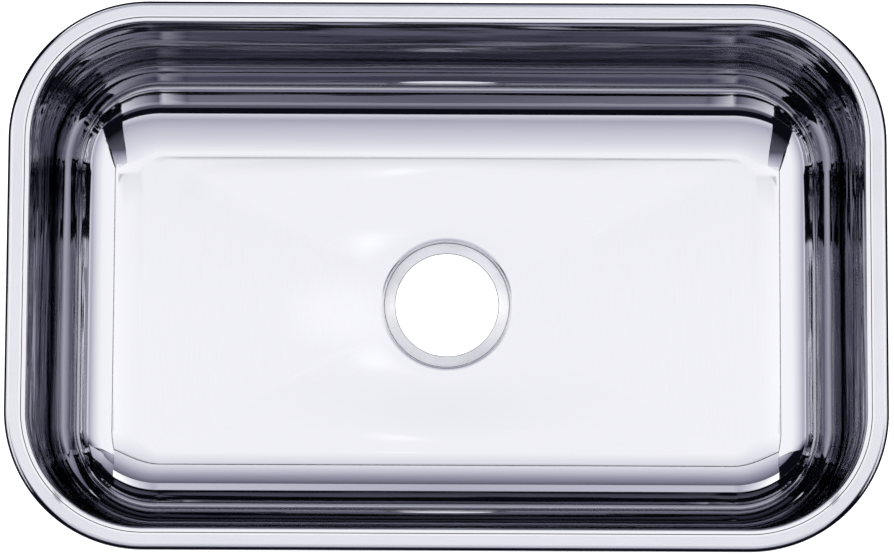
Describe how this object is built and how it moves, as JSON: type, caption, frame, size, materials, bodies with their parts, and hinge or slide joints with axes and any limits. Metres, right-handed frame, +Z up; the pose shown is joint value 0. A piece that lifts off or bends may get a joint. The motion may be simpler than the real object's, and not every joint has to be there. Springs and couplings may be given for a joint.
{
  "type": "kitchen sink",
  "caption": "Deep-drawn single-bowl kitchen sink with a narrow flange, a rounded falling floor, a stepped central drain hole and swing-out rim clamps.",
  "frame": {"origin": "under the centre of the drain hole, on the plane of the lowest face of the sink", "axes": "+X along the sink's length to the right, +Y towards its back, +Z up"},
  "size_m": [0.59, 0.37, 0.1778],
  "materials": {
    "polished_steel": "mirror-polished stainless steel",
    "seal_foam": "closed-cell foam",
    "damping_pad": "matt rubber sheet",
    "bracket_steel": "mill-finish steel strip",
    "plated_screw": "bright zinc plate",
    "spring_ring": "blackened spring steel",
    "plated_arm": "zinc-plated pressed steel",
    "bush_brass": "turned brass"
  },
  "bodies": {
    "sink": {"pressed_bowl": "polished_steel", "rim_seal": "seal_foam", "floor_pad_left": "damping_pad", "floor_pad_right": "damping_pad", "back_pad_left": "damping_pad", "back_pad_right": "damping_pad", "left_pad_front": "damping_pad", "left_pad_back": "damping_pad", "front_pad_right": "damping_pad", "front_pad_left": "damping_pad", "right_pad_back": "damping_pad", "right_pad_front": "damping_pad", "clamp_bracket_back_left": "bracket_steel", "clamp_bracket_back_middle": "bracket_steel", "clamp_bracket_back_right": "bracket_steel", "clamp_bracket_left_end": "bracket_steel", "clamp_bracket_front_right": "bracket_steel", "clamp_bracket_front_middle": "bracket_steel", "clamp_bracket_front_left": "bracket_steel", "clamp_bracket_right_end": "bracket_steel"},
    "clamp_screw_back_left": {"clamp_screw_back_left": "plated_screw", "clamp_ring_back_left": "spring_ring"},
    "clamp_arm_back_left": {"clamp_arm_back_left": "plated_arm", "clamp_bush_back_left": "bush_brass"},
    "clamp_screw_back_middle": {"clamp_screw_back_middle": "plated_screw", "clamp_ring_back_middle": "spring_ring"},
    "clamp_arm_back_middle": {"clamp_arm_back_middle": "plated_arm", "clamp_bush_back_middle": "bush_brass"},
    "clamp_screw_back_right": {"clamp_screw_back_right": "plated_screw", "clamp_ring_back_right": "spring_ring"},
    "clamp_arm_back_right": {"clamp_arm_back_right": "plated_arm", "clamp_bush_back_right": "bush_brass"},
    "clamp_screw_left_end": {"clamp_screw_left_end": "plated_screw", "clamp_ring_left_end": "spring_ring"},
    "clamp_arm_left_end": {"clamp_arm_left_end": "plated_arm", "clamp_bush_left_end": "bush_brass"},
    "clamp_screw_front_right": {"clamp_screw_front_right": "plated_screw", "clamp_ring_front_right": "spring_ring"},
    "clamp_arm_front_right": {"clamp_arm_front_right": "plated_arm", "clamp_bush_front_right": "bush_brass"},
    "clamp_screw_front_middle": {"clamp_screw_front_middle": "plated_screw", "clamp_ring_front_middle": "spring_ring"},
    "clamp_arm_front_middle": {"clamp_arm_front_middle": "plated_arm", "clamp_bush_front_middle": "bush_brass"},
    "clamp_screw_front_left": {"clamp_screw_front_left": "plated_screw", "clamp_ring_front_left": "spring_ring"},
    "clamp_arm_front_left": {"clamp_arm_front_left": "plated_arm", "clamp_bush_front_left": "bush_brass"},
    "clamp_screw_right_end": {"clamp_screw_right_end": "plated_screw", "clamp_ring_right_end": "spring_ring"},
    "clamp_arm_right_end": {"clamp_arm_right_end": "plated_arm", "clamp_bush_right_end": "bush_brass"}
  },
  "joints": [
    {"name": "clamp_swing_back_left", "type": "hinge", "parent": "sink", "child": "clamp_screw_back_left", "pos_m": [-0.15123, 0.17583, 0.1428], "axis": [0, 0, 1], "range_deg": [0, 90]},
    {"name": "clamp_lift_back_left", "type": "slide", "parent": "clamp_screw_back_left", "child": "clamp_arm_back_left", "axis": [0, 0, 1], "range_m": [0, 0.035]},
    {"name": "clamp_swing_back_middle", "type": "hinge", "parent": "sink", "child": "clamp_screw_back_middle", "pos_m": [0, 0.17583, 0.1428], "axis": [0, 0, 1], "range_deg": [0, 90]},
    {"name": "clamp_lift_back_middle", "type": "slide", "parent": "clamp_screw_back_middle", "child": "clamp_arm_back_middle", "axis": [0, 0, 1], "range_m": [0, 0.035]},
    {"name": "clamp_swing_back_right", "type": "hinge", "parent": "sink", "child": "clamp_screw_back_right", "pos_m": [0.15123, 0.17583, 0.1428], "axis": [0, 0, 1], "range_deg": [0, 90]},
    {"name": "clamp_lift_back_right", "type": "slide", "parent": "clamp_screw_back_right", "child": "clamp_arm_back_right", "axis": [0, 0, 1], "range_m": [0, 0.035]},
    {"name": "clamp_swing_left_end", "type": "hinge", "parent": "sink", "child": "clamp_screw_left_end", "pos_m": [-0.28583, 0, 0.1428], "axis": [0, 0, 1], "range_deg": [0, 90]},
    {"name": "clamp_lift_left_end", "type": "slide", "parent": "clamp_screw_left_end", "child": "clamp_arm_left_end", "axis": [0, 0, 1], "range_m": [0, 0.035]},
    {"name": "clamp_swing_front_right", "type": "hinge", "parent": "sink", "child": "clamp_screw_front_right", "pos_m": [0.15123, -0.17583, 0.1428], "axis": [0, 0, 1], "range_deg": [0, 90]},
    {"name": "clamp_lift_front_right", "type": "slide", "parent": "clamp_screw_front_right", "child": "clamp_arm_front_right", "axis": [0, 0, 1], "range_m": [0, 0.035]},
    {"name": "clamp_swing_front_middle", "type": "hinge", "parent": "sink", "child": "clamp_screw_front_middle", "pos_m": [0, -0.17583, 0.1428], "axis": [0, 0, 1], "range_deg": [0, 90]},
    {"name": "clamp_lift_front_middle", "type": "slide", "parent": "clamp_screw_front_middle", "child": "clamp_arm_front_middle", "axis": [0, 0, 1], "range_m": [0, 0.035]},
    {"name": "clamp_swing_front_left", "type": "hinge", "parent": "sink", "child": "clamp_screw_front_left", "pos_m": [-0.15123, -0.17583, 0.1428], "axis": [0, 0, 1], "range_deg": [0, 90]},
    {"name": "clamp_lift_front_left", "type": "slide", "parent": "clamp_screw_front_left", "child": "clamp_arm_front_left", "axis": [0, 0, 1], "range_m": [0, 0.035]},
    {"name": "clamp_swing_right_end", "type": "hinge", "parent": "sink", "child": "clamp_screw_right_end", "pos_m": [0.28583, 0, 0.1428], "axis": [0, 0, 1], "range_deg": [0, 90]},
    {"name": "clamp_lift_right_end", "type": "slide", "parent": "clamp_screw_right_end", "child": "clamp_arm_right_end", "axis": [0, 0, 1], "range_m": [0, 0.035]}
  ]
}
